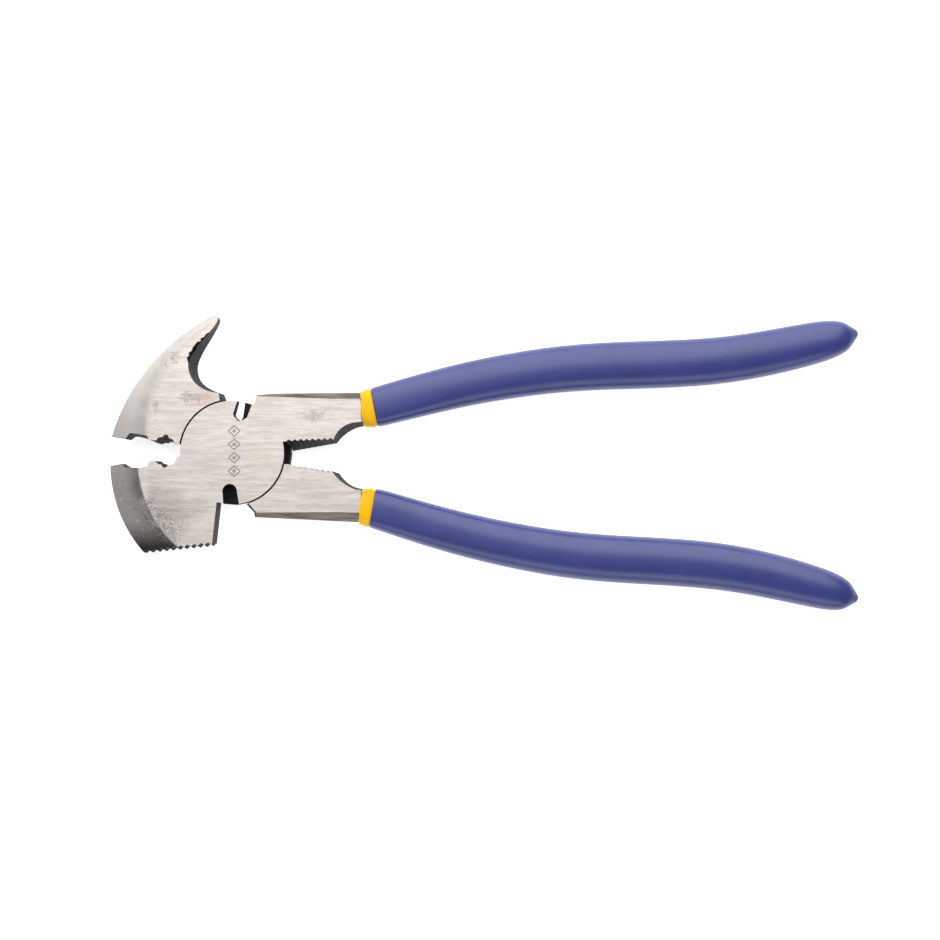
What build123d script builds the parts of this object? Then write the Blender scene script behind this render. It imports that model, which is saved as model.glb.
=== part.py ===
"""Fencing pliers: a hammer lever and a claw lever lapped on one rivet, with twice-dipped handles."""
import os
from math import cos, radians, sin

from build123d import *

os.makedirs("parts", exist_ok=True)

# Driving dimensions, in millimetres. The pivot's axis is the Z axis, the handles point along +X,
# and the tool lies on its ground underside, z = 0. The jaws are drawn part open, at rest.
thickness = 13.0
middle = thickness / 2
lap_gap = 0.1
hub_radius = 18.2
hub_gap = 0.6
recess_radius = hub_radius + hub_gap
beyond = 3.0

rivet_radius = 5.0
rivet_head_radius = 6.8
rivet_head_depth = 1.8
rivet_clearance = 0.06

# The claw lever's web stands out from its hub between the handles, and the hammer lever
# is relieved for it as far as the handles close.
web_radius = 19.9
web_relief_radius = web_radius + 0.3
web_start_angle = -14.0
web_end_angle = 10.5
closing_angle = 12.3
web_relief_end = web_end_angle + closing_angle + 0.5

# A low lug on the claw lever's hub shows behind the lower wire notch.
lug_radius = 18.6
lug_angles = (-102.0, -87.0, -72.0)

# The outer face of each jaw is round, and its nose is bevelled on both sides.
hammer_nose_centre = (8.4, -1.9)
hammer_crease_radius = 41.7
hammer_nose_slope = 0.25
hammer_nose_crown = 0.56
claw_crease_centre = (16.5, 5.0)
claw_crease_radius = 47.2
claw_nose_slope = 0.17
claw_nose_crown = 0.4
nose_bevel_width = 20.0

hammer_face_start = (-31.1, -35.8)
hammer_face_end = (-7.2, -33.3)
hammer_face_teeth = 10
hammer_face_rows = 5
hammer_face_tooth = 0.9
hammer_face_crown = 1.0

chip_depth = 1.2
handle_tooth = 0.7
worn_tooth = 0.08
handle_teeth = 8
corner_bevel_slope = 1.2
dip_start = 35.0
dip_shoulder = 45.2
dip_end = 48.0
dip_shallow = 0.25
dip_depth = 1.7

# The chain of lozenges pressed into the hub's upper face.
motif_centre = (0.7, 0.5)
motif_depth = 0.15
motif_line = 0.3
motif_width = 5.0
motif_pitch = 4.7
motif_count = 4

# The handles: a flat oval tang, a thin yellow dip over all of it, and a thicker blue dip
# that starts a little further on, so that the yellow shows as a ring.
grip_thickness = 1.2
sleeve_thickness = 0.8
tang_start = 0.8
grip_start = 5.0
corner_share = 0.46

hammer_handle_line = [
    (44.6, 15.5), (49.0, 15.9), (53.0, 16.8), (63.0, 19.6), (85.7, 25.3), (108.5, 29.5), (131.2, 31.1),
    (153.9, 31.1), (176.6, 32.7), (199.3, 37.5), (221.4, 42.5),
]
claw_handle_line = [
    (44.0, -19.2), (49.0, -19.6), (53.0, -20.6), (63.0, -23.9), (85.7, -30.3), (108.5, -35.4), (131.2, -37.8),
    (153.9, -38.4), (176.6, -40.4), (199.3, -45.9), (221.6, -51.9),
]

# Width and height of the blue dip at each distance back from its tip.
grip_tip = [(0.3, 2.4, 2.0), (2.8, 7.4, 6.6), (6.4, 11.6, 10.0), (10.5, 13.3, 11.4), (16.0, 14.4, 12.1)]
grip_body = [
    (30.0, 15.6, 12.5), (52.0, 16.3, 12.6), (80.0, 16.5, 12.6), (105.0, 16.1, 12.6),
    (135.0, 15.3, 12.5), (157.0, 14.8, 12.3),
]
grip_mouth = (13.9, 12.2)
sleeve_ring = [(0.8, 12.2, 12.6), (2.0, 13.1, 12.8), (4.2, 13.8, 12.6), (5.6, 12.4, 11.3), (8.0, 12.1, 10.6)]
tang_neck = [(tang_start, 10.6, 9.8), (7.0, 10.0, 9.0)]


def point_towards(angle, distance):
    """A point at a distance from the pivot, at an angle from +X in degrees."""
    return (distance * cos(radians(angle)), distance * sin(radians(angle)))


def teeth_between(start, end, count, depth):
    """The points of a row of teeth along an edge, with the gullets on the left of its direction."""
    start = Vector(*start)
    step = (Vector(*end) - start) / count
    inward = Vector(-step.Y, step.X).normalized() * depth
    points = []
    for tooth in range(count):
        points.append(start + step * tooth)
        points.append(start + step * (tooth + 0.5) + inward)
    points.append(start + step * count)
    return [(point.X, point.Y) for point in points]


def dipped_solid(line, sections):
    """A solid lofted along a handle's line through (distance, width, height) sections."""
    with BuildPart() as solid:
        for distance, width, height in sections:
            centre = line.position_at(distance, position_mode=PositionMode.LENGTH)
            along = line.tangent_at(distance, position_mode=PositionMode.LENGTH)
            across = Plane(origin=centre, x_dir=(-along.Y, along.X, 0), z_dir=along)
            with BuildSketch(across):
                RectangleRounded(width, height, corner_share * height)
        loft(ruled=True)
    return solid.part


def handle_solids(points):
    """The tang, the yellow dip's outside and the blue dip's outside for one handle."""
    line = Spline(*[(x, y, middle) for x, y in points])
    length = line.length
    body = [(length - back, width, height) for back, width, height in reversed(grip_body)]
    tip = [(length - back, width, height) for back, width, height in reversed(grip_tip)]
    grip = [(grip_start, *grip_mouth)] + body + tip
    sleeve_inset = 2 * grip_thickness
    tang_inset = 2 * (grip_thickness + sleeve_thickness)
    sleeve = sleeve_ring + [
        (distance, width - sleeve_inset, height - sleeve_inset) for distance, width, height in body + tip[:3]
    ]
    tang = tang_neck + [
        (distance, width - tang_inset, height - tang_inset) for distance, width, height in body + tip[:2]
    ]
    return dipped_solid(line, tang), dipped_solid(line, sleeve), dipped_solid(line, grip)


hammer_tang, hammer_sleeve_solid, hammer_grip_solid = handle_solids(hammer_handle_line)
claw_tang, claw_sleeve_solid, claw_grip_solid = handle_solids(claw_handle_line)


def nose_bevels(centre, crease_radius, slope, crown):
    """The metal ground off both sides of a nose: curved bevels that start at a round crease.
    Halfway out, a bevel has dropped by its crown's share of its whole drop."""
    profile = Plane(origin=(*centre, 0), x_dir=(1, 0, 0), z_dir=(0, -1, 0))
    outside = crease_radius + nose_bevel_width
    with BuildPart() as bevels:
        for surface, drop in ((thickness, -nose_bevel_width * slope), (0, nose_bevel_width * slope)):
            with BuildSketch(profile):
                with BuildLine():
                    ThreePointArc(
                        (crease_radius, surface),
                        (crease_radius + nose_bevel_width / 2, surface + crown * drop),
                        (outside, surface + drop),
                    )
                    Polyline((outside, surface + drop), (outside, surface), (crease_radius, surface))
                make_face()
            revolve(axis=Axis((*centre, 0), (0, 0, 1)))
    return bevels.part


def corner_bevels(start, end, start_width, end_width):
    """The long wedges ground off an outer corner, on both sides, from start to end.
    The outside is on the left of that direction."""
    along = Vector(*end) - Vector(*start)
    outward = Vector(-along.Y, along.X).normalized()
    with BuildPart() as bevels:
        for surface, downward in ((thickness, -1), (0, 1)):
            for point, width in ((start, start_width), (end, end_width)):
                across = Plane(origin=(*point, 0), x_dir=outward, z_dir=outward.cross(Vector(0, 0, 1)))
                with BuildSketch(across):
                    Polygon(
                        (-width, surface),
                        (1, surface),
                        (1, surface + downward * corner_bevel_slope * (width + 1)),
                        align=None,
                    )
            loft(ruled=True)
    return bevels.part


def ground_dip():
    """The metal taken off both ground faces where a handle thins towards its tang."""
    with BuildPart() as dip:
        with BuildSketch(Plane.XZ):
            for surface, inward in ((thickness, -1), (0, 1)):
                Polygon(
                    (dip_start, surface),
                    (dip_shoulder, surface + inward * dip_shallow),
                    (dip_end, surface + inward * dip_depth),
                    (dip_end, surface),
                    align=None,
                )
        extrude(amount=beyond + 25, both=True)
    return dip.part


def lozenge_chain():
    """The grooves of the chain pressed into the upper face, each lozenge an outline with a dot."""
    with BuildPart() as chain:
        with BuildSketch(Plane.XY.offset(thickness)):
            with Locations(motif_centre):
                with GridLocations(0, motif_pitch, 1, motif_count):
                    for inset, mode in ((0.2, Mode.ADD), (0.2 + 2 * motif_line, Mode.SUBTRACT)):
                        half_height = motif_pitch / 2 - inset
                        half_width = motif_width / 2 - inset
                        Polygon(
                            (0, -half_height), (half_width, 0), (0, half_height), (-half_width, 0),
                            align=None, mode=mode,
                        )
                    Circle(2 * motif_line)
        extrude(amount=-motif_depth)
    return chain.part


hammer_nose = nose_bevels(hammer_nose_centre, hammer_crease_radius, hammer_nose_slope, hammer_nose_crown)
claw_nose = nose_bevels(claw_crease_centre, claw_crease_radius, claw_nose_slope, claw_nose_crown)
hammer_handle_bevels = corner_bevels((7.0, 20.5), (47.5, 21.2), 0.7, 2.7)
claw_handle_bevels = corner_bevels((47.5, -24.8), (7.0, -22.8), 3.9, 1.7)
claw_shoulder_bevels = corner_bevels((8.2, -22.2), (4.7, -17.6), 1.1, 0.6)
tang_dip = ground_dip()
motif = lozenge_chain()

# Pivot rivet: headed at both ends in countersinks and ground flush with the hub's faces.
with BuildPart() as pivot_rivet:
    with BuildSketch(Plane.XZ):
        Polygon(
            (0, 0),
            (rivet_head_radius, 0),
            (rivet_radius, rivet_head_depth),
            (rivet_radius, thickness - rivet_head_depth),
            (rivet_head_radius, thickness),
            (0, thickness),
            align=None,
        )
    revolve(axis=Axis.Z)
    add(motif, mode=Mode.SUBTRACT)
pivot_rivet.part.label = "pivot_rivet"
export_step(pivot_rivet.part, "parts/pivot_rivet.step")

# Hammer lever: one forging with the hammer jaw, the upper half of the hub and the upper handle.
with BuildPart() as hammer_lever:
    with BuildSketch():
        with BuildLine():
            bite = Polyline(
                (-43.4, -4.7), (-39.4, -4.0), (-37.8, -5.2), (-33.6, -5.5), (-30.0, -5.0), (-29.2, -3.2),
                (-27.1, -3.0), (-25.8, -4.2), (-25.1, -4.0), (-24.4, -5.1), (-23.6, -5.4), (-22.4, -4.5),
                (-21.7, -4.7), (-20.9, -3.9), (-20.3, -3.9), (-19.9, -3.1), (-19.6, -1.9), (-18.0, -1.0),
                (0, 0), (-3.1, -17.0), (-5.5, -17.6), hammer_face_end, hammer_face_start,
            )
            ThreePointArc(bite @ 1, (-39.7, -22.4), bite @ 0)
        make_face()
    extrude(amount=thickness)
    add(hammer_nose, mode=Mode.SUBTRACT)
    # The hammer's face is crowned, and cut across and along into a waffle of small teeth.
    face_run = Vector(*hammer_face_end) - Vector(*hammer_face_start)
    inward = Vector(-face_run.Y, face_run.X).normalized()
    for height, drop in ((0, hammer_face_crown), (middle, 0), (thickness, hammer_face_crown)):
        start = Vector(*hammer_face_start) + inward * drop
        end = Vector(*hammer_face_end) + inward * drop
        with BuildSketch(Plane.XY.offset(height)):
            Polygon(
                *teeth_between((start.X, start.Y), (end.X, end.Y), hammer_face_teeth, hammer_face_tooth),
                (-3.0, -38.0), (-34.0, -40.0), align=None,
            )
    loft(ruled=True, mode=Mode.SUBTRACT)
    row_pitch = thickness / hammer_face_rows
    face_middle = Vector(*hammer_face_start) + face_run / 2
    across_face = Plane(origin=(face_middle.X, face_middle.Y, middle), x_dir=(0, 0, -1), z_dir=face_run)
    with BuildSketch(across_face):
        for row in range(1, hammer_face_rows):
            near, far = (row - 0.5) * row_pitch - middle, (row + 0.5) * row_pitch - middle
            bottom = (near + far) / 2
            Polygon(
                (near, -1), (far, -1), (far, hammer_face_crown * abs(far) / middle),
                (bottom, hammer_face_crown * abs(bottom) / middle + hammer_face_tooth),
                (near, hammer_face_crown * abs(near) / middle), align=None,
            )
    extrude(amount=face_run.length / 2 + beyond, both=True, mode=Mode.SUBTRACT)

    with BuildSketch():
        Polygon(
            (0, 0), (6.0, 10.0), (8.1, 18.4), (8.5, 20.2), (14.4, 20.8), (46.0, 21.2), (46.0, 9.0),
            (30.0, 0), align=None,
        )
    extrude(amount=thickness)
    # The toothed gap between the handles has a sloping wall, and runs out in a hollow at the tang.
    with BuildSketch(Plane.XY.offset(thickness)):
        with BuildLine():
            upper_teeth = Polyline(*teeth_between((18.9, 3.9), (35.6, 4.5), handle_teeth, handle_tooth))
            upper_hollow = ThreePointArc(upper_teeth @ 1, (38.6, 8.8), (43.0, 10.6))
            Polyline(
                upper_hollow @ 1, (48.0, 11.2), (48.0, -12.0), (17.6, -12.0), (17.6, 3.9), upper_teeth @ 0
            )
        make_face()
    with BuildSketch():
        with BuildLine():
            lower_teeth = Polyline(*teeth_between((20.1, 0.6), (35.9, 3.4), handle_teeth, worn_tooth))
            lower_hollow = ThreePointArc(lower_teeth @ 1, (38.6, 6.3), (43.0, 8.9))
            Polyline(
                lower_hollow @ 1, (48.0, 10.0), (48.0, -12.0), (17.6, -12.0), (17.6, 0.6), lower_teeth @ 0
            )
        make_face()
    loft(ruled=True, mode=Mode.SUBTRACT)
    add(hammer_handle_bevels, mode=Mode.SUBTRACT)
    add(tang_dip, mode=Mode.SUBTRACT)

    with BuildSketch():
        Circle(hub_radius)
    extrude(amount=thickness)
    # The lower half of the hub is cleared for the claw lever's hub and its web.
    with BuildSketch():
        Circle(recess_radius)
        Polygon(
            (0, 0),
            point_towards(web_end_angle - closing_angle, web_relief_radius),
            point_towards(web_end_angle, web_relief_radius),
            point_towards((web_end_angle + web_relief_end) / 2, web_relief_radius),
            point_towards(web_relief_end, web_relief_radius),
            align=None,
        )
    extrude(amount=middle + lap_gap / 2, mode=Mode.SUBTRACT)
    # Two notches in the upper half shear wire: a round-ended one below and a pointed one above.
    with BuildSketch(Plane.XY.offset(middle)):
        with Locations((-0.9, -13.6)):
            Circle(2.55)
        Polygon((-3.4, -13.4), (1.6, -13.4), (2.6, -19.0), (-3.1, -19.0), align=None)
        Polygon(
            (2.1, 19.0), (0.3, 13.6), (0.6, 12.7), (2.3, 11.0), (3.1, 11.0), (5.2, 12.3), (7.2, 17.6),
            (7.2, 19.0), align=None,
        )
    extrude(amount=middle, mode=Mode.SUBTRACT)
    with BuildSketch():
        Circle(rivet_radius)
    extrude(amount=thickness, mode=Mode.SUBTRACT)
    with BuildSketch(Plane.XY.offset(thickness)):
        Circle(rivet_head_radius)
    with BuildSketch(Plane.XY.offset(thickness - rivet_head_depth)):
        Circle(rivet_radius)
    loft(mode=Mode.SUBTRACT)
    add(motif, mode=Mode.SUBTRACT)
    add(hammer_tang)
hammer_lever.part.label = "hammer_lever"
export_step(hammer_lever.part, "parts/hammer_lever.step")

# Claw lever: one forging with the staple claw, the lower half of the hub and the lower handle.
with BuildPart() as claw_lever:
    with BuildSketch():
        with BuildLine():
            back = ThreePointArc((-44.2, 0.0), (-33.0, 25.4), (-7.2, 48.0))
            Polyline(back @ 1, (-5.6, 47.9), (-4.8, 46.9), (2.0, 30.0), (0.0, 0.0), back @ 0)
        make_face()
    extrude(amount=thickness)
    add(claw_nose, mode=Mode.SUBTRACT)
    # The bite: a pad at the nose, a flat gullet, a lip and a serrated round seat for wire,
    # all on a wall that slopes out towards the underside.
    with BuildSketch(Plane.XY.offset(thickness)):
        Polygon(
            (-46.0, 5.9), (-37.7, 4.8), (-36.3, 6.8), (-35.3, 6.9), (-30.1, 6.0), (-29.1, 4.4),
            (-26.7, 4.3), (-26.2, 5.0), (-25.5, 5.4), (-24.7, 5.4), (-24.0, 6.0), (-23.3, 6.4),
            (-22.7, 6.2), (-22.1, 5.0), (-21.2, 4.9), (-20.7, 4.4), (-20.2, 3.3), (-19.9, 3.0),
            (-10.0, 2.6), (-10.0, -3.0), (-46.0, -3.0), align=None,
        )
    with BuildSketch():
        Polygon(
            (-46.0, 5.9), (-37.6, 4.5), (-36.2, 5.6), (-35.2, 5.7), (-30.4, 4.6), (-28.6, 3.5),
            (-26.8, 3.0), (-26.1, 3.3), (-25.4, 3.6), (-24.7, 3.3), (-24.0, 3.7), (-23.3, 3.9),
            (-22.6, 3.6), (-22.0, 3.1), (-21.2, 3.1), (-20.7, 3.0), (-20.2, 3.0), (-19.9, 3.0),
            (-10.0, 2.6), (-10.0, -3.0), (-46.0, -3.0), align=None,
        )
    loft(ruled=True, mode=Mode.SUBTRACT)
    # The throat of the claw, its wall drafted a little towards the underside.
    with BuildSketch(Plane.XY.offset(thickness)):
        with BuildLine():
            throat = Spline(
                (-4.9, 46.8), (-9.6, 40.6), (-13.8, 35.6), (-15.4, 31.6), (-15.1, 28.3), (-13.6, 25.1),
                (-10.5, 22.5), (-4.8, 20.9),
            )
            Polyline(throat @ 1, (-4.3, 18.0), (12.0, 18.0), (12.0, 50.0), (-4.9, 50.0), throat @ 0)
        make_face()
    with BuildSketch():
        with BuildLine():
            throat = Spline(
                (-5.9, 46.8), (-9.5, 40.2), (-12.4, 35.2), (-13.9, 31.2), (-13.9, 28.6), (-12.8, 25.7),
                (-10.5, 23.5), (-4.5, 20.9),
            )
            Polyline(throat @ 1, (-3.4, 18.0), (12.0, 18.0), (12.0, 50.0), (-5.9, 50.0), throat @ 0)
        make_face()
    loft(ruled=True, mode=Mode.SUBTRACT)
    # The throat's upper edge is chipped where the flash was broken off.
    with BuildSketch(Plane.XY.offset(thickness - chip_depth)):
        Polygon(
            (-7.6, 42.6), (-9.2, 41.7), (-9.9, 40.6), (-11.2, 40.1), (-11.0, 39.2), (-12.3, 38.9),
            (-13.9, 36.9), (-14.2, 35.8), (-15.3, 35.1), (-15.2, 34.0), (-16.0, 33.4), (-15.3, 31.0),
            (-9.0, 34.0), align=None,
        )
    extrude(amount=chip_depth, mode=Mode.SUBTRACT)

    with BuildSketch():
        Polygon(
            (0, 0), (3.0, -14.0), (5.1, -18.4), (7.6, -21.1), (7.8, -22.8), (23.3, -23.6), (45.4, -24.7),
            (45.4, -9.0), (30.0, 0), (15.0, 0), align=None,
        )
    extrude(amount=thickness)
    with BuildSketch(Plane.XY.offset(thickness)):
        with BuildLine():
            upper_teeth = Polyline(*teeth_between((35.0, -6.5), (20.0, -4.1), handle_teeth, handle_tooth))
            Polyline(upper_teeth @ 1, (17.6, -4.1), (17.6, 12.0), (48.0, 12.0), (48.0, -13.6), (43.2, -13.0))
            ThreePointArc((43.2, -13.0), (38.5, -10.4), upper_teeth @ 0)
        make_face()
    with BuildSketch():
        with BuildLine():
            lower_teeth = Polyline(*teeth_between((36.9, -7.4), (20.6, -6.3), handle_teeth, worn_tooth))
            Polyline(lower_teeth @ 1, (17.6, -6.3), (17.6, 12.0), (48.0, 12.0), (48.0, -13.4), (43.6, -12.6))
            ThreePointArc((43.6, -12.6), (39.3, -10.3), lower_teeth @ 0)
        make_face()
    loft(ruled=True, mode=Mode.SUBTRACT)
    add(claw_handle_bevels, mode=Mode.SUBTRACT)
    add(claw_shoulder_bevels, mode=Mode.SUBTRACT)
    add(tang_dip, mode=Mode.SUBTRACT)

    with BuildSketch():
        Circle(hub_radius)
        Polygon(
            (0, 0),
            point_towards(web_start_angle, web_radius),
            point_towards((web_start_angle + web_end_angle) / 2, web_radius),
            point_towards(web_end_angle, web_radius),
            align=None,
        )
        Polygon(
            (0, 0),
            *[point_towards(angle, lug_radius) for angle in lug_angles],
            align=None,
        )
    extrude(amount=middle - lap_gap / 2)
    with BuildSketch(Plane.XY.offset(middle - lap_gap / 2)):
        Circle(recess_radius)
    extrude(amount=middle + lap_gap, mode=Mode.SUBTRACT)
    with BuildSketch():
        Polygon(
            (1.2, 19.0), (-0.3, 13.5), (0.4, 11.4), (1.4, 10.7), (2.3, 11.1), (3.1, 12.7), (3.9, 19.0),
            align=None,
        )
    extrude(amount=middle, mode=Mode.SUBTRACT)
    with BuildSketch():
        Circle(rivet_radius + rivet_clearance)
    extrude(amount=thickness, mode=Mode.SUBTRACT)
    with BuildSketch():
        Circle(rivet_head_radius + rivet_clearance)
    with BuildSketch(Plane.XY.offset(rivet_head_depth)):
        Circle(rivet_radius + rivet_clearance)
    loft(mode=Mode.SUBTRACT)
    add(claw_tang)
claw_lever.part.label = "claw_lever"
export_step(claw_lever.part, "parts/claw_lever.step")

# Yellow inner dips: a thin skin over each tang, thicker at its open end.
with BuildPart() as hammer_handle_sleeve:
    add(hammer_sleeve_solid)
    add(hammer_lever.part, mode=Mode.SUBTRACT)
hammer_handle_sleeve.part.label = "hammer_handle_sleeve"
export_step(hammer_handle_sleeve.part, "parts/hammer_handle_sleeve.step")

with BuildPart() as claw_handle_sleeve:
    add(claw_sleeve_solid)
    add(claw_lever.part, mode=Mode.SUBTRACT)
claw_handle_sleeve.part.label = "claw_handle_sleeve"
export_step(claw_handle_sleeve.part, "parts/claw_handle_sleeve.step")

# Blue outer dips: the grips, over all of the yellow but a ring.
with BuildPart() as hammer_handle_grip:
    add(hammer_grip_solid)
    add(hammer_sleeve_solid, mode=Mode.SUBTRACT)
hammer_handle_grip.part.label = "hammer_handle_grip"
export_step(hammer_handle_grip.part, "parts/hammer_handle_grip.step")

with BuildPart() as claw_handle_grip:
    add(claw_grip_solid)
    add(claw_sleeve_solid, mode=Mode.SUBTRACT)
claw_handle_grip.part.label = "claw_handle_grip"
export_step(claw_handle_grip.part, "parts/claw_handle_grip.step")
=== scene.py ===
"""Fencing pliers: two ground forgings on one rivet, each handle dipped in yellow and then in blue."""

import math

import bmesh
import bpy
from mathutils import Matrix, Vector, noise


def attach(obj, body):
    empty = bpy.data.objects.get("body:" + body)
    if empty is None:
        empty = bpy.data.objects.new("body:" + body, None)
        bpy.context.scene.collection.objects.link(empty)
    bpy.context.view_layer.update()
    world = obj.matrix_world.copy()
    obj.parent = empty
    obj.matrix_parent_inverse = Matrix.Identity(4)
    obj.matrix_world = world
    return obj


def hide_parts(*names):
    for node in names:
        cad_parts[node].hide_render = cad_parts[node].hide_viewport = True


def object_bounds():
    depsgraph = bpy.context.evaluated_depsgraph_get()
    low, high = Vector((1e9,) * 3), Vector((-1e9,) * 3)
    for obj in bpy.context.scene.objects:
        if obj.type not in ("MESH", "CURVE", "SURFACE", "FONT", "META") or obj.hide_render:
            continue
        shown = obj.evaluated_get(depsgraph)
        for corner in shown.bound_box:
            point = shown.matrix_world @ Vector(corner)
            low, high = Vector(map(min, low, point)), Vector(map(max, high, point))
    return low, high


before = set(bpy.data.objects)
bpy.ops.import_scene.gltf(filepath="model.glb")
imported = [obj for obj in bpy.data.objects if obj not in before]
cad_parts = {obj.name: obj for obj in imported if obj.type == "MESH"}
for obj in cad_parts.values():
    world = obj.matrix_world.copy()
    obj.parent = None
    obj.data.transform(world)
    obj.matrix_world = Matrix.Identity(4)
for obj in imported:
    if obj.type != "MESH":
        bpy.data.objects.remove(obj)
cad_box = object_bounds()

# ---------------------------------------------------------------------------------------------
# Hammer lever, claw lever and pivot rivet. The levers are drop forged in carbon steel, and their
# side walls keep black scale. Both flat sides are ground after riveting, with fine parallel
# lines over the levers and the rivet's flush ends alike, and the noses are bevelled.
# ---------------------------------------------------------------------------------------------
millimetres = 1000.0
edge_round = 0.00018
edge_angle = math.radians(28)
crease_angle = math.radians(9)
ground_grey = (0.58, 0.53, 0.495, 1.0)
ground_pale = (0.79, 0.73, 0.695, 1.0)
# The next three are the nose bevel's colours. The first is its grey, partly its own duller grind and partly
# painted shade for its tilt. The second is painted shade beside the crease, where the hollow grind tilts
# away. The third is painted shade towards its foot at the hammer face.
nose_pale = (0.60, 0.565, 0.54, 1.0)
crease_shade_colour = (0.25, 0.22, 0.20, 1.0)
foot_shade_colour = (0.05, 0.045, 0.04, 1.0)
strip_grey = (0.085, 0.08, 0.075, 1.0)
strip_brown = (0.20, 0.16, 0.14, 1.0)
scale_black = (0.008, 0.008, 0.009, 1.0)
scale_grey = (0.03, 0.029, 0.03, 1.0)
pit_brown = (0.13, 0.105, 0.08, 1.0)
rust_orange = (0.50, 0.27, 0.13, 1.0)
stain_yellow = (0.72, 0.63, 0.44, 1.0)
half_thickness = (cad_box[0][2] + cad_box[1][2]) / 2 * millimetres
face_depth = 0.35
bevel_depth = 3.6
engraving_depth = 0.12
neck_start = 36.0
strips_start = 2.0
facing_face = 0.80, 0.88
facing_strip = 0.45, 0.55


def set_inputs(tree, made, inputs):
    """A node's inputs, each set to a value or linked to a socket."""
    for name, value in inputs.items():
        if isinstance(value, bpy.types.NodeSocket):
            tree.links.new(value, made.inputs[name])
        else:
            made.inputs[name].default_value = value


def put(tree, kind, inputs, **settings):
    """A shader node with its settings, and its inputs set or linked."""
    made = tree.nodes.new("ShaderNode" + kind)
    for name, value in settings.items():
        setattr(made, name, value)
    set_inputs(tree, made, inputs)
    return made


def new_group(name, inputs, outputs):
    """An empty node group with named inputs, each (kind, value), and named outputs."""
    group = bpy.data.node_groups.new(name, "ShaderNodeTree")
    for label, (kind, value) in inputs.items():
        socket = group.interface.new_socket(label, in_out="INPUT", socket_type="NodeSocket" + kind)
        socket.default_value = value
    for label, kind in outputs.items():
        group.interface.new_socket(label, in_out="OUTPUT", socket_type="NodeSocket" + kind)
    return group, group.nodes.new("NodeGroupInput").outputs, group.nodes.new("NodeGroupOutput").inputs


def put_group(tree, group, inputs):
    """A placed copy of a node group, with its inputs set or linked."""
    made = tree.nodes.new("ShaderNodeGroup")
    made.node_tree = group
    set_inputs(tree, made, inputs)
    return made.outputs


def math_of(tree, operation, first, second=0.0):
    """The result of a Math node on two values or sockets."""
    return put(tree, "Math", {0: first, 1: second}, operation=operation).outputs[0]


def ramp_between(tree, value, low, high, low_out=0.0, high_out=1.0):
    """A value moved smoothly from low_out to high_out as it goes from low to high."""
    inputs = {"Value": value, "From Min": low, "From Max": high, "To Min": low_out, "To Max": high_out}
    return put(tree, "MapRange", inputs, interpolation_type="SMOOTHSTEP").outputs[0]


def mix_colour(tree, share, first, second):
    """Two colours mixed by a share, where each is a colour or a socket."""
    return put(tree, "Mix", {0: share, 6: first, 7: second}, data_type="RGBA").outputs[2]


def new_material(name):
    """A node material, its tree and Principled shader, the place in millimetres and the normal."""
    material = bpy.data.materials.new(name)
    material.use_nodes = True
    tree = material.node_tree
    shader = tree.nodes["Principled BSDF"]
    coordinates = tree.nodes.new("ShaderNodeTexCoord")
    place = put(
        tree, "VectorMath", {0: coordinates.outputs["Object"], "Scale": millimetres}, operation="SCALE"
    ).outputs[0]
    return material, tree, shader, place, coordinates.outputs["Normal"]


def stretched_noise(tree, place, scale, detail, roughness=0.5):
    """Noise whose cells are stretched by a scale along each axis."""
    stretched = put(tree, "Mapping", {"Vector": place, "Scale": scale}).outputs[0]
    inputs = {"Vector": stretched, "Scale": 1.0, "Detail": detail, "Roughness": roughness}
    return put(tree, "TexNoise", inputs).outputs[0]


# A ragged oval patch at a place on the metal, for stains, rust and pitting.
patch, patch_in, patch_out = new_group(
    "patch",
    {
        "Place": ("Vector", (0, 0, 0)), "Centre": ("Vector", (0, 0, 0)), "Reach": ("Vector", (1, 1, 1)),
        "Raggedness": ("Float", 0.5),
    },
    {"Mask": "Float"},
)
patch_offset = put(patch, "VectorMath", {0: patch_in["Place"], 1: patch_in["Centre"]}, operation="SUBTRACT")
patch_unit = put(
    patch, "VectorMath", {0: patch_offset.outputs[0], 1: patch_in["Reach"]}, operation="DIVIDE"
)
patch_distance = put(patch, "VectorMath", {0: patch_unit.outputs[0]}, operation="LENGTH").outputs["Value"]
patch_noise = stretched_noise(patch, patch_in["Place"], (0.5, 0.5, 0.5), 4.0, 0.65)
patch_wander = math_of(
    patch, "MULTIPLY", math_of(patch, "SUBTRACT", patch_noise, 0.5), patch_in["Raggedness"]
)
patch_edge = math_of(patch, "ADD", patch_distance, math_of(patch, "MULTIPLY", patch_wander, 4.0))
patch.links.new(ramp_between(patch, patch_edge, 0.25, 1.05, 1.0, 0.0), patch_out["Mask"])

# Grinding lines: long thin scratches along one direction, some bright and some dark.
grind, grind_in, grind_out = new_group(
    "grinding lines", {"Place": ("Vector", (0, 0, 0))}, {"Value": "Float"},
)
grind_wave = stretched_noise(grind, grind_in["Place"], (0.12, 0.2, 0.12), 2.0)
grind_shift = put(grind, "CombineXYZ", {"Y": grind_wave}).outputs[0]
grind_bent = put(grind, "VectorMath", {0: grind_in["Place"], 1: grind_shift}, operation="ADD").outputs[0]
fine_lines = stretched_noise(grind, grind_bent, (0.22, 3.2, 0.3), 3.0, 0.6)
broad_lines = stretched_noise(grind, grind_bent, (0.07, 0.95, 0.2), 2.0, 0.5)
grind_sum = math_of(
    grind, "ADD", math_of(grind, "MULTIPLY", fine_lines, 0.6), math_of(grind, "MULTIPLY", broad_lines, 0.4)
)
grind.links.new(ramp_between(grind, grind_sum, 0.34, 0.66), grind_out["Value"])

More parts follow.
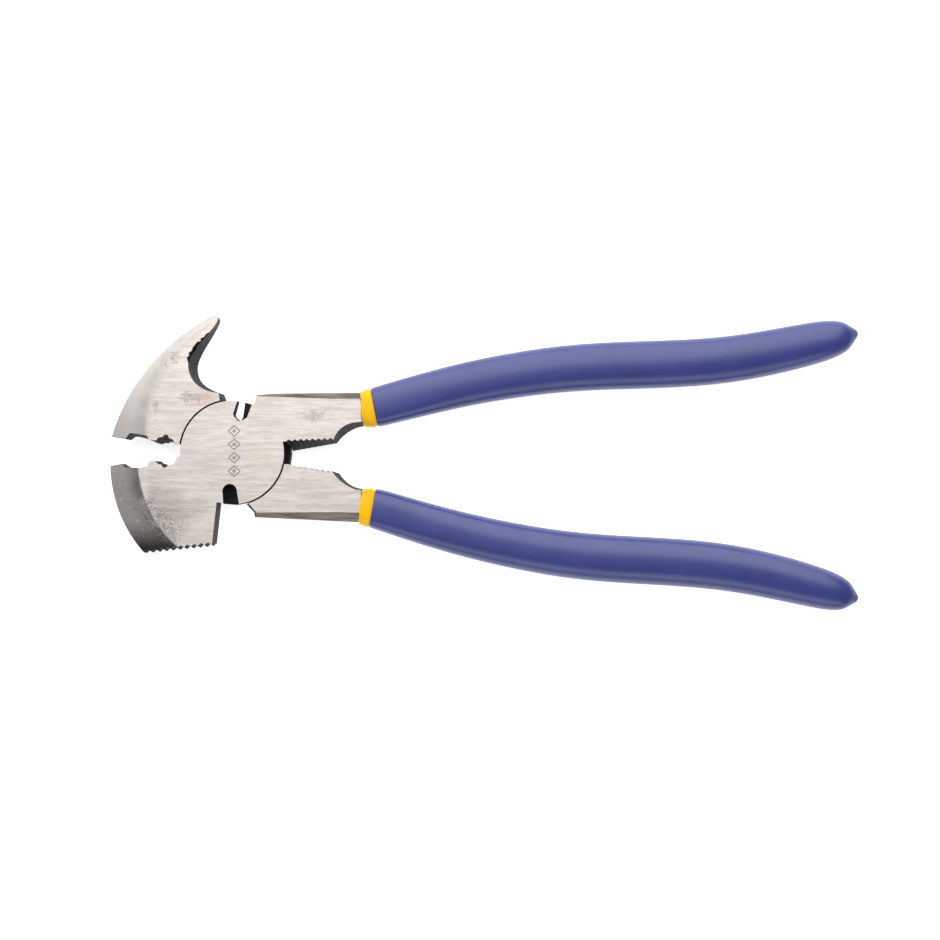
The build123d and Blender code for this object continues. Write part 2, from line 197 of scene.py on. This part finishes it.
# Pits: ragged hollows, as black scale leaves where the grinding didn't reach.
pits, pits_in, pits_out = new_group(
    "pits",
    {"Place": ("Vector", (0, 0, 0)), "Share": ("Float", 0.1)},
    {"Mask": "Float", "Deep": "Float"},
)
pits_coarse = stretched_noise(pits, pits_in["Place"], (0.55, 0.7, 0.6), 6.0, 0.72)
pits_fine = stretched_noise(pits, pits_in["Place"], (1.7, 2.0, 1.8), 4.0, 0.7)
pits_sum = math_of(
    pits, "ADD", math_of(pits, "MULTIPLY", pits_coarse, 0.6), math_of(pits, "MULTIPLY", pits_fine, 0.4)
)
pits_level = math_of(pits, "ADD", pits_sum, pits_in["Share"])
pits.links.new(ramp_between(pits, pits_level, 0.585, 0.67), pits_out["Mask"])
pits_spots = math_of(pits, "ADD", pits_fine, math_of(pits, "MULTIPLY", pits_in["Share"], 0.9))
pits.links.new(ramp_between(pits, pits_spots, 0.66, 0.74), pits_out["Deep"])

# Forging scale: a black oxide skin, mottled with grey, and slightly rough.
scale, scale_in, scale_out = new_group(
    "forging scale", {"Place": ("Vector", (0, 0, 0))}, {"Colour": "Color", "Height": "Float"},
)
scale_mottle = stretched_noise(scale, scale_in["Place"], (0.7, 0.7, 0.7), 5.0, 0.7)
scale_tone = ramp_between(scale, scale_mottle, 0.45, 0.75)
scale.links.new(mix_colour(scale, scale_tone, scale_black, scale_grey), scale_out["Colour"])
scale.links.new(scale_mottle, scale_out["Height"])


def forged_steel(name, nose_centre, nose_crease, crease_softness, crease_shade_share, patches, foot_shade_span=None):
    """Ground and scaled steel. The nose's bevel starts at a crease around a centre. Beside it a
    share of painted shade darkens the hollow grind, and painted shade darkens it towards its foot,
    where a pair of Y values says from where to where. Patches are (kind, strength, centre, reach). All
    lengths are in millimetres."""
    material, tree, shader, place, normal = new_material(name)
    up = math_of(tree, "ABSOLUTE", put(tree, "SeparateXYZ", {0: normal}).outputs["Z"])
    axes = put(tree, "SeparateXYZ", {0: place}).outputs
    from_middle = math_of(tree, "ABSOLUTE", math_of(tree, "SUBTRACT", axes["Z"], half_thickness))
    from_centre = put(tree, "VectorMath", {0: place, 1: nose_centre}, operation="SUBTRACT").outputs[0]
    from_centre = put(tree, "VectorMath", {0: from_centre, 1: (1, 1, 0)}, operation="MULTIPLY").outputs[0]
    along_nose = math_of(
        tree, "SUBTRACT",
        put(tree, "VectorMath", {0: from_centre}, operation="LENGTH").outputs["Value"], nose_crease,
    )
    neck = ramp_between(tree, axes["X"], neck_start, neck_start + 0.8)
    ends = math_of(tree, "MAXIMUM", ramp_between(tree, along_nose, -1.2, -0.7), neck)
    ground_depth = math_of(tree, "MULTIPLY", ends, bevel_depth)
    depth_needed = math_of(tree, "SUBTRACT", half_thickness - face_depth, ground_depth)
    reached = math_of(tree, "GREATER_THAN", from_middle, depth_needed)
    wheel = math_of(tree, "MULTIPLY", reached, ramp_between(tree, up, *facing_face))
    off_face = ramp_between(tree, up, *facing_face, 1.0, 0.0)
    strip = math_of(tree, "MULTIPLY", ramp_between(tree, up, *facing_strip), off_face)
    strip_reach = ramp_between(tree, axes["X"], strips_start, strips_start + 1.0)
    strip = math_of(tree, "MULTIPLY", strip, strip_reach)
    nose = ramp_between(tree, along_nose, -crease_softness, crease_softness)
    sunken = ramp_between(
        tree, from_middle, half_thickness - engraving_depth, half_thickness - 0.05, 1.0, 0.0
    )
    engraved = math_of(tree, "MULTIPLY", sunken, math_of(tree, "SUBTRACT", 1.0, ends))

    lines = put_group(tree, grind, {"Place": place})["Value"]
    cloud = stretched_noise(tree, place, (0.06, 0.09, 0.1), 3.0)
    ground = mix_colour(tree, lines, ground_grey, ground_pale)
    ground = mix_colour(tree, ramp_between(tree, cloud, 0.42, 0.75, 0.0, 0.3), ground, ground_grey)

    # Painted shade on the nose bevel: darker beside the crease, fading over 6 mm, by a share that wanders
    # with noise.
    nose_cloud = stretched_noise(tree, place, (0.16, 0.16, 0.16), 4.0)
    crease_shade_strength = ramp_between(tree, nose_cloud, 0.3, 0.7, crease_shade_share, crease_shade_share / 2)
    crease_shade = ramp_between(tree, along_nose, 0.0, 6.0, 1.0, 0.0)
    crease_shade = math_of(tree, "MULTIPLY", crease_shade, crease_shade_strength)
    nose_colour_and_shade = mix_colour(tree, crease_shade, nose_pale, crease_shade_colour)
    # Painted shade on the nose bevel: darker towards its foot, between the given Y values.
    if foot_shade_span:
        nose_colour_and_shade = mix_colour(
            tree, ramp_between(tree, axes["Y"], *foot_shade_span, 1.0, 0.0), nose_colour_and_shade, foot_shade_colour
        )
    strip_tone = stretched_noise(tree, place, (0.07, 0.5, 0.5), 3.0, 0.6)
    strip_colour = mix_colour(tree, ramp_between(tree, strip_tone, 0.35, 0.65), strip_grey, strip_brown)
    oxide = put_group(tree, scale, {"Place": place})

    colour = mix_colour(tree, nose, ground, nose_colour_and_shade)
    pitting = put_group(tree, pits, {"Place": place, "Share": 0.0})["Mask"]
    spotting = math_of(tree, "MULTIPLY", pitting, 0.5)
    for kind, strength, centre, reach in patches:
        mask = put_group(
            tree, patch, {"Place": place, "Centre": centre, "Reach": reach, "Raggedness": 0.45}
        )["Mask"]
        if kind == "pits":
            holes = put_group(tree, pits, {"Place": place, "Share": math_of(tree, "MULTIPLY", mask, 0.17)})
            pitting = math_of(tree, "MAXIMUM", pitting, math_of(tree, "MULTIPLY", holes["Mask"], strength))
            spots = math_of(tree, "MULTIPLY", math_of(tree, "MULTIPLY", holes["Deep"], mask), strength)
            spotting = math_of(tree, "MAXIMUM", spotting, spots)
        else:
            tint = rust_orange if kind == "rust" else stain_yellow
            colour = mix_colour(tree, math_of(tree, "MULTIPLY", mask, strength), colour, tint)
    colour = mix_colour(tree, math_of(tree, "MULTIPLY", pitting, 0.35), colour, pit_brown)
    colour = mix_colour(tree, math_of(tree, "MULTIPLY", spotting, 0.75), colour, pit_brown)
    colour = mix_colour(tree, math_of(tree, "MULTIPLY", engraved, 0.6), colour, pit_brown)
    colour = mix_colour(tree, wheel, oxide["Colour"], colour)
    colour = mix_colour(tree, strip, colour, strip_colour)
    tree.links.new(colour, shader.inputs["Base Color"])

    bright = math_of(tree, "MAXIMUM", wheel, strip)
    tree.links.new(ramp_between(tree, bright, 0.0, 1.0, 0.1, 0.95), shader.inputs["Metallic"])
    shader.inputs["Specular IOR Level"].default_value = 0.25
    shine = ramp_between(tree, bright, 0.0, 1.0, 0.65, 0.34)
    shine = math_of(tree, "ADD", shine, math_of(tree, "MULTIPLY", lines, 0.08))
    shine = math_of(tree, "ADD", shine, math_of(tree, "MULTIPLY", pitting, 0.2))
    tree.links.new(shine, shader.inputs["Roughness"])

    relief = math_of(tree, "MULTIPLY", lines, math_of(tree, "SUBTRACT", 1.0, nose))
    relief = math_of(tree, "MULTIPLY", relief, 0.25)
    hollows = math_of(tree, "ADD", pitting, spotting)
    relief = math_of(tree, "SUBTRACT", relief, math_of(tree, "MULTIPLY", hollows, 1.6))
    rough_scale = math_of(tree, "SUBTRACT", 1.0, bright)
    rough_scale = math_of(tree, "MULTIPLY", math_of(tree, "MULTIPLY", oxide["Height"], rough_scale), 2.5)
    relief = math_of(tree, "ADD", relief, rough_scale)
    bump = put(tree, "Bump", {"Strength": 0.5, "Distance": 0.00008, "Height": relief})
    tree.links.new(bump.outputs[0], shader.inputs["Normal"])
    return material


def finished_forging(node, body, material):
    """The CAD lever with its corners broken as by the grinding wheel, in place of its CAD node."""
    metal = bmesh.new()
    metal.from_mesh(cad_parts[node].data)
    bmesh.ops.remove_doubles(metal, verts=metal.verts, dist=0.000002)
    bmesh.ops.dissolve_limit(
        metal, angle_limit=math.radians(0.4), verts=metal.verts, edges=metal.edges
    )
    mesh = bpy.data.meshes.new(node + "_forging")
    metal.to_mesh(mesh)
    metal.free()
    mesh.shade_smooth()
    mesh.set_sharp_from_angle(angle=crease_angle)
    mesh.materials.append(material)
    forging = bpy.data.objects.new(node + "_forging", mesh)
    bpy.context.scene.collection.objects.link(forging)
    corners = forging.modifiers.new("broken corners", "BEVEL")
    corners.width = edge_round
    corners.segments = 2
    corners.limit_method = "ANGLE"
    corners.angle_limit = edge_angle
    corners.harden_normals = True
    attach(forging, body)
    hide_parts(node)


# The hammer's nose gets strong painted shade beside its crease, and painted shade towards its foot.
hammer_steel = forged_steel(
    "hammer lever steel", (8.4, -1.9, 0.0), 41.7, 0.6, 0.9,
    [
        ("stain", 0.25, (9.0, -3.5, 13.0), (4.0, 6.0, 9.0)),
        ("pits", 0.8, (-29.5, -18.5, 13.0), (4.5, 5.0, 6.0)),
        ("pits", 0.8, (-25.5, -23.5, 13.0), (5.5, 5.5, 6.0)),
        ("pits", 0.7, (-21.5, -28.0, 13.0), (5.5, 6.0, 6.0)),
        ("pits", 0.45, (28.5, 13.0, 13.0), (6.5, 4.0, 3.0)),
    ],
    foot_shade_span=(-35.0, -22.0),
)
# The claw's nose gets lighter painted shade beside a softer crease, and none at its foot.
claw_steel = forged_steel(
    "claw lever steel", (16.5, 5.0, 0.0), 47.2, 2.2, 0.6,
    [
        ("rust", 0.35, (-9.5, 19.0, 13.0), (5.0, 3.0, 4.0)),
        ("pits", 0.55, (-15.0, 19.0, 13.0), (5.5, 3.2, 4.0)),
        ("pits", 0.5, (-27.0, 16.5, 13.0), (1.6, 4.0, 4.0)),
        ("pits", 0.4, (-20.0, 33.0, 13.0), (3.0, 3.0, 4.0)),
    ],
)
finished_forging("hammer_lever", "hammer_side", hammer_steel)
finished_forging("claw_lever", "claw_side", claw_steel)
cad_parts["pivot_rivet"].material_slots[0].material = hammer_steel

# ---------------------------------------------------------------------------------------------
# Yellow inner dips. Each tang is dipped in liquid vinyl first, which cures to a thin glossy
# skin with a thicker rolled lip at its mouth, the only part that shows.
# ---------------------------------------------------------------------------------------------
dip_sides = 24
mouth_squareness, grip_squareness = 3.0, 2.25
squareness_fades = 8.0, 34.0
samples_between = 12
lump_seed = 11
sleeve_lip = [
    (1.9, 10.6, 10.6), (0.8, 11.2, 11.8), (0.6, 12.1, 12.7), (1.2, 12.8, 13.0), (2.6, 13.6, 13.0),
    (4.0, 14.2, 12.9), (4.6, 13.9, 12.6), (4.95, 12.8, 11.8), (7.0, 12.2, 10.8),
]
dip_body = [
    (157.0, 15.2, 12.4), (135.0, 15.9, 12.6), (105.0, 16.8, 12.7), (80.0, 17.1, 12.7),
    (52.0, 16.9, 12.7), (30.0, 16.2, 12.6), (16.0, 15.0, 12.3), (10.5, 13.8, 11.6),
    (6.6, 12.0, 10.1), (4.4, 10.0, 8.5), (2.8, 7.0, 6.2), (1.3, 4.0, 3.7), (0.4, 2.4, 2.3), (0.0, 1.2, 1.2),
]
grip_skin = 2.4
hammer_handle_points = [
    (44.6, 15.5), (49.0, 15.9), (53.0, 16.8), (63.0, 19.6), (85.7, 25.3), (108.5, 29.5),
    (131.2, 31.1), (153.9, 31.1), (176.6, 32.7), (199.3, 37.5), (221.4, 42.5),
]
claw_handle_points = [
    (44.0, -19.2), (49.0, -19.6), (53.0, -20.6), (63.0, -23.9), (85.7, -30.3), (108.5, -35.4),
    (131.2, -37.8), (153.9, -38.4), (176.6, -40.4), (199.3, -45.9), (221.6, -51.9),
]


def handle_line(points):
    """A smooth line through a handle's points: (distance along it, place) every millimetre or two."""
    route = [Vector((x, y, half_thickness)) for x, y in points]
    route = [2 * route[0] - route[1]] + route + [2 * route[-1] - route[-2]]
    line = [(0.0, route[1])]
    for before, start, end, after in zip(route, route[1:], route[2:], route[3:]):
        for step in range(1, samples_between + 1):
            t = step / samples_between
            place = 0.5 * (
                2 * start + (end - before) * t + (2 * before - 5 * start + 4 * end - after) * t ** 2
                + (3 * start - before - 3 * end + after) * t ** 3
            )
            line.append((line[-1][0] + (place - line[-1][1]).length, place))
    return line


def frame_on_line(line, distance):
    """The matrix at a distance along a handle's line: X across it, Y up, Z along it."""
    for (near, start), (far, end) in zip(line, line[1:]):
        if distance <= far:
            break
    along = (end - start).normalized()
    centre = start + along * (distance - near)
    up = Vector((0, 0, 1))
    across = up.cross(along)
    turn = Matrix((across, up, along)).transposed().to_4x4()
    return Matrix.Translation(centre) @ turn


def dipped_skin(name, line, sections, lump, material, body, node):
    """A skin through (distance, width, height) sections on a handle, closed at its tip."""
    skin = bmesh.new()
    spoke = skin.verts.layers.int.new("spoke")
    ring = bmesh.ops.create_circle(skin, segments=dip_sides, radius=1.0)["verts"]
    for index, vertex in enumerate(ring):
        vertex[spoke] = index
    edges = list(skin.edges)
    for number, (distance, width, height) in enumerate(sections):
        if number:
            made = bmesh.ops.extrude_edge_only(skin, edges=edges)["geom"]
            ring = [item for item in made if isinstance(item, bmesh.types.BMVert)]
            edges = [
                item for item in made
                if isinstance(item, bmesh.types.BMEdge) and all(end in ring for end in item.verts)
            ]
        place = frame_on_line(line, distance)
        faded = (distance - squareness_fades[0]) / (squareness_fades[1] - squareness_fades[0])
        faded = min(max(faded, 0.0), 1.0)
        power = 2 / (mouth_squareness + (grip_squareness - mouth_squareness) * faded)
        for vertex in ring:
            angle = 2 * math.pi * vertex[spoke] / dip_sides
            side, rise = math.cos(angle), math.sin(angle)
            across = math.copysign(abs(side) ** power, side) * width / 2
            upward = math.copysign(abs(rise) ** power, rise) * height / 2
            point = place @ Vector((across, upward, 0))
            point += noise.noise_vector(point * 0.09) * lump
            vertex.co = point / millimetres
    bmesh.ops.pointmerge(skin, verts=ring, merge_co=sum((v.co for v in ring), Vector()) / dip_sides)
    bmesh.ops.recalc_face_normals(skin, faces=skin.faces)
    mesh = bpy.data.meshes.new(name)
    skin.to_mesh(mesh)
    skin.free()
    mesh.shade_smooth()
    mesh.materials.append(material)
    dip = bpy.data.objects.new(name, mesh)
    bpy.context.scene.collection.objects.link(dip)
    rounded = dip.modifiers.new("cured round", "SUBSURF")
    rounded.levels = 2
    rounded.render_levels = 2
    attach(dip, body)
    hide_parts(node)


# Cured skin: the soft clouds, fine grain and low lumps that the vinyl keeps as it sets.
cured, cured_in, cured_out = new_group(
    "cured skin",
    {
        "Place": ("Vector", (0, 0, 0)),
        "Colour": ("Color", (1, 1, 1, 1)), "Deep Colour": ("Color", (1, 1, 1, 1)),
        "Roughness": ("Float", 0.3), "Grain": ("Float", 0.3),
    },
    {"Colour": "Color", "Roughness": "Float", "Height": "Float"},
)
cured_clouds = stretched_noise(cured, cured_in["Place"], (0.08, 0.08, 0.08), 4.0)
cured_fine = stretched_noise(cured, cured_in["Place"], (2.4, 2.4, 2.4), 3.0, 0.6)
cured_share = ramp_between(cured, cured_clouds, 0.35, 0.7)
cured_tint = mix_colour(cured, cured_share, cured_in["Colour"], cured_in["Deep Colour"])
cured_rough = math_of(cured, "ADD", cured_in["Roughness"], math_of(cured, "MULTIPLY", cured_fine, 0.12))
cured_grain = math_of(cured, "MULTIPLY", cured_fine, cured_in["Grain"])
cured.links.new(cured_tint, cured_out["Colour"])
cured.links.new(cured_rough, cured_out["Roughness"])
cured.links.new(math_of(cured, "ADD", cured_grain, cured_clouds), cured_out["Height"])


def dipped_vinyl(name, colour, deep_colour, roughness, sheen, grain):
    """Cured dip-coating vinyl: an even colour, a little deeper in places, under a cured skin."""
    material, tree, shader, place = new_material(name)[:4]
    skin = put_group(tree, cured, {
        "Place": place, "Colour": colour, "Deep Colour": deep_colour, "Roughness": roughness, "Grain": grain,
    })
    tree.links.new(skin["Colour"], shader.inputs["Base Color"])
    tree.links.new(skin["Roughness"], shader.inputs["Roughness"])
    shader.inputs["Specular IOR Level"].default_value = sheen
    bump = put(tree, "Bump", {"Strength": 0.35, "Distance": 0.00012, "Height": skin["Height"]})
    tree.links.new(bump.outputs[0], shader.inputs["Normal"])
    return material


noise.seed_set(lump_seed)
hammer_line = handle_line(hammer_handle_points)
claw_line = handle_line(claw_handle_points)
handles = (("hammer", hammer_line), ("claw", claw_line))
yellow_vinyl = dipped_vinyl("yellow vinyl", (0.92, 0.52, 0.0, 1.0), (0.86, 0.42, 0.0, 1.0), 0.30, 0.22, 0.2)
for lever, line in handles:
    length = line[-1][0]
    hidden = [(length - back, width - grip_skin, height - grip_skin) for back, width, height in dip_body[:8]]
    dipped_skin(
        lever + "_inner_dip", line, sleeve_lip + hidden, 0.12, yellow_vinyl,
        lever + "_side", lever + "_handle_sleeve",
    )

# ---------------------------------------------------------------------------------------------
# Blue outer dips. A second, thicker dip makes the grip. Its mouth is a soft round edge just
# behind the yellow lip, and the drip at its end is pinched to a blunt point.
# ---------------------------------------------------------------------------------------------
grip_mouth = [
    (9.0, 12.2, 10.9), (6.2, 12.3, 11.0), (5.4, 12.6, 11.3), (5.1, 13.4, 12.0), (5.5, 14.2, 12.5),
    (8.0, 14.4, 12.5),
]
blue_vinyl = dipped_vinyl(
    "blue vinyl", (0.024, 0.037, 0.205, 1.0), (0.019, 0.031, 0.178, 1.0), 0.28, 0.75, 0.35
)
for lever, line in handles:
    length = line[-1][0]
    outer = [(length - back, width, height) for back, width, height in dip_body]
    dipped_skin(
        lever + "_outer_dip", line, grip_mouth + outer, 0.15, blue_vinyl,
        lever + "_side", lever + "_handle_grip",
    )

# ---------------------------------------------------------------------------------------------
# Studio: a white table under the pliers, a large soft light from the claw's side, a weaker one
# from the hammer's side, and a panel overhead that the ground faces reflect.
# ---------------------------------------------------------------------------------------------
camera_height = 0.65
picture_width = 0.3337
camera_centre = (0.0836, -0.00615)
floor_size = 6.0


def soft_light(name, place, target, width, depth, power):
    """A rectangular light panel that faces a target."""
    data = bpy.data.lights.new(name, "AREA")
    data.shape = "RECTANGLE"
    data.size = width
    data.size_y = depth
    data.energy = power
    light = bpy.data.objects.new(name, data)
    light.location = place
    light.rotation_euler = (Vector(target) - Vector(place)).to_track_quat("-Z", "Y").to_euler()
    bpy.context.scene.collection.objects.link(light)


floor_mesh = bpy.data.meshes.new("table")
floor_shape = bmesh.new()
bmesh.ops.create_grid(floor_shape, x_segments=1, y_segments=1, size=floor_size / 2)
bmesh.ops.translate(floor_shape, verts=floor_shape.verts, vec=(camera_centre[0], 0, cad_box[0][2]))
floor_shape.to_mesh(floor_mesh)
floor_shape.free()
floor = bpy.data.objects.new("table", floor_mesh)
bpy.context.scene.collection.objects.link(floor)
floor_paint = bpy.data.materials.new("white table")
floor_paint.use_nodes = True
floor_shader = floor_paint.node_tree.nodes["Principled BSDF"]
floor_shader.inputs["Base Color"].default_value = (0.9, 0.9, 0.9, 1.0)
floor_shader.inputs["Roughness"].default_value = 0.9
floor_shader.inputs["Emission Color"].default_value = (1.0, 1.0, 1.0, 1.0)
floor_shader.inputs["Emission Strength"].default_value = 0.75
floor_mesh.materials.append(floor_paint)

middle_of_tool = (0.08, 0.0, 0.0)
soft_light("claw side light", (0.08, 0.58, 0.56), middle_of_tool, 1.4, 1.24, 12.8)
soft_light("hammer side light", (0.08, -0.62, 0.36), middle_of_tool, 1.1, 0.30, 1.8)
soft_light("overhead panel", (-0.04, -0.10, 0.85), (-0.04, -0.10, 0.0), 0.36, 0.45, 0.30)

world = bpy.data.worlds.new("studio")
world.use_nodes = True
world.node_tree.nodes["Background"].inputs["Color"].default_value = (1.0, 1.0, 1.0, 1.0)
world.node_tree.nodes["Background"].inputs["Strength"].default_value = 0.25
bpy.context.scene.world = world

camera_data = bpy.data.cameras.new("camera")
camera_data.angle = 2 * math.atan(picture_width / 2 / camera_height)
camera = bpy.data.objects.new("camera", camera_data)
camera.location = (*camera_centre, camera_height + (cad_box[0][2] + cad_box[1][2]) / 2)
bpy.context.scene.collection.objects.link(camera)
bpy.context.scene.camera = camera
bpy.context.scene.view_settings.view_transform = "Standard"
